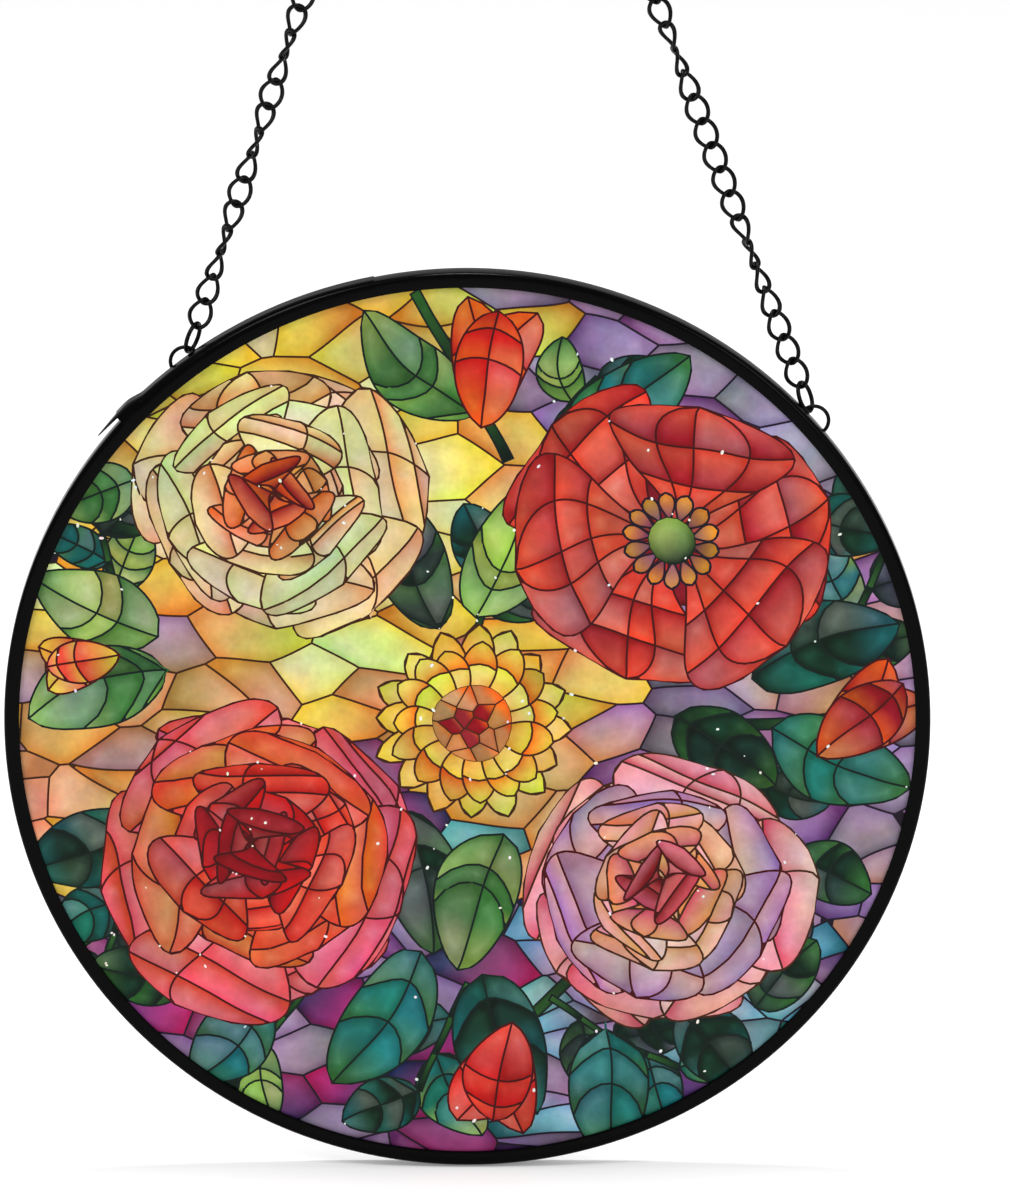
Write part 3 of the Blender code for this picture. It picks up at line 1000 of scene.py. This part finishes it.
# Chain
# Loose oval links of round blackened wire, each given a quarter twist so that the chain lies flat.
# The runs hang tight from the hooked link at the top to the lugs.
WIRE = 0.00072
LINK_PITCH = 0.0043
LINK_WIDTH = 0.0042
LINK_TWIST = math.radians(90)
LEFT_LINKS = 33
RIGHT_LINKS = 36
LEFT_TURNS = ((1, 10), (2, 25), (4, 92), (6, 180), (8, 265), (11, 410), (14, 540), (32, 675))
RIGHT_TURNS = ((1, 10), (3, 22), (6, 90), (8, 168), (12, 188), (14, 258), (16, 340), (35, 495))
END_LINK_TURN = 60.0
RING_SIDES = 10
RING_STEPS = 12
FITTING_ROUNDS = 12


def bend_link(name, length_reach, twist):
    """A closed oval of wire with its length along Z, twisted about it."""
    bpy.ops.object.select_all(action="DESELECT")
    bpy.ops.curve.primitive_bezier_circle_add(radius=1, rotation=(math.pi / 2, 0, 0))
    oval = new_piece(name)
    oval.scale = ((LINK_WIDTH - WIRE) / 2, length_reach, 1)
    bpy.ops.object.transform_apply(location=True, rotation=True, scale=True)
    oval.data.resolution_u = RING_STEPS
    for point in oval.data.splines[0].bezier_points:
        point.radius = 1
    oval.data.bevel_depth = WIRE / 2
    oval.data.bevel_resolution = (RING_SIDES - 4) // 2
    bpy.ops.object.convert(target="MESH")
    oval = bpy.context.object
    if twist:
        modify(oval, "SIMPLE_DEFORM", deform_method="TWIST", deform_axis="Z", angle=twist)
    take(oval)
    bpy.ops.object.shade_smooth()
    return oval


def turn_of(index, turns):
    """The turn of a link about the chain, in degrees, drawn straight between the links that are named."""
    for (first, low), (last, high) in zip(turns, turns[1:]):
        if index <= last:
            return low + (high - low) * (index - first) / (last - first)
    return turns[-1][1]


hooked_reach = LINK_PITCH / 2 + WIRE / 2
for side, name, lug, count, turns in (
    (-1, "left_chain", left_lug_centre, LEFT_LINKS, LEFT_TURNS),
    (1, "right_chain", right_lug_centre, RIGHT_LINKS, RIGHT_TURNS),
):
    crown = Vector((side * hooked_reach, 0, WIRE / 2))
    pull = Vector((0, 0, -1))
    pitch = LINK_PITCH
    for _ in range(FITTING_ROUNDS):
        end = crown - pull * WIRE
        pull = (lug - end).normalized()
        start_gap = LUG_RADIUS - LUG_WIRE / 2 - WIRE / 2
        reach = pitch / 2 + WIRE / 2
        pitch = ((lug - end).length - start_gap - 2 * reach) / (count - 1)
    plain = bend_link("plain_link", reach, 0)
    twisted = bend_link("twisted_link", reach, LINK_TWIST)
    tilt = Matrix.Rotation(math.atan2(-pull.x, -pull.z), 4, "Y")
    links_of_run = []
    for index in range(count):
        pattern = plain if index == 0 else twisted
        link = pattern.copy()
        link.data = pattern.data.copy()
        bpy.context.scene.collection.objects.link(link)
        turn = math.radians(END_LINK_TURN if index == 0 else turn_of(index, turns))
        centre = lug - pull * (start_gap + reach + index * pitch)
        link.data.transform(Matrix.Translation(centre) @ tilt @ Matrix.Rotation(turn, 4, "Z"))
        links_of_run.append(link)
    bpy.ops.object.select_all(action="DESELECT")
    for link in links_of_run:
        link.select_set(True)
    bpy.context.view_layer.objects.active = links_of_run[0]
    bpy.ops.object.join()
    run = new_piece(name + "_links")
    run.data.materials.append(blackened_wire)
    hand_over(run, "black_wire", name)
    bpy.data.objects.remove(plain)
    bpy.data.objects.remove(twisted)

hooked_link = bend_link("hooked_link", hooked_reach, 0)
lying = Matrix.Rotation(math.pi / 2, 4, "Y") @ Matrix.Rotation(math.pi / 2, 4, "Z")
hooked_link.data.transform(Matrix.Translation((0, 0, WIRE / 2)) @ lying)
hooked_link.data.materials.append(blackened_wire)
hand_over(hooked_link, "black_wire", "top_link")


# Floor, light and camera
# A pale floor just under the disc, a soft white studio, and a long lens a little above the disc.
FLOOR_GAP = 0.0003
FLOOR_SIZE = 12.0
ELEVATION = math.radians(15)
CAMERA_DISTANCE = 2.0
VIEW_WIDTH = 0.1658
VIEW_RIGHT = 0.0062
VIEW_UP = 0.0205
SENSOR = 36.0

bpy.ops.object.select_all(action="DESELECT")
bpy.ops.mesh.primitive_plane_add(size=FLOOR_SIZE, location=(0, 0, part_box("rim")[0].z - FLOOR_GAP))
floor = bpy.context.object
floor.name = "floor"
pale, _, _ = principled(
    "pale_floor",
    Base_Color=(0.9, 0.9, 0.9, 1),
    Roughness=0.7,
    Emission_Color=(1, 1, 1, 1),
    Emission_Strength=0.2,
)
floor.data.materials.append(pale)

world = bpy.data.worlds.new("studio")
world.use_nodes = True
world.node_tree.nodes["Background"].inputs["Color"].default_value = (1, 1, 1, 1)
world.node_tree.nodes["Background"].inputs["Strength"].default_value = 0.45
bpy.context.scene.world = world
bpy.context.scene.view_settings.view_transform = "Standard"


def soft_light(name, place, aim, size, power):
    lamp = bpy.data.lights.new(name, "AREA")
    lamp.size = size
    lamp.energy = power
    light = bpy.data.objects.new(name, lamp)
    light.location = place
    light.rotation_euler = (Vector(aim) - Vector(place)).to_track_quat("-Z", "Y").to_euler()
    bpy.context.scene.collection.objects.link(light)


soft_light("key", (-0.7, -0.9, 1.1), disc_centre, 0.5, 12)
soft_light("fill", (0.9, -1.1, 0.5), disc_centre, 0.6, 6)
soft_light("top", (0.0, 0.1, 1.1), disc_centre, 0.25, 11)

camera_data = bpy.data.cameras.new("camera")
camera_data.sensor_fit = "HORIZONTAL"
camera_data.sensor_width = SENSOR
camera_data.lens = SENSOR * CAMERA_DISTANCE / VIEW_WIDTH
camera = bpy.data.objects.new("camera", camera_data)
bpy.context.scene.collection.objects.link(camera)
aim = disc_centre + Vector((VIEW_RIGHT, 0, VIEW_UP))
camera.location = aim + CAMERA_DISTANCE * Vector((0, -math.cos(ELEVATION), math.sin(ELEVATION)))
camera.rotation_euler = (math.pi / 2 - ELEVATION, 0, 0)
bpy.context.scene.camera = camera
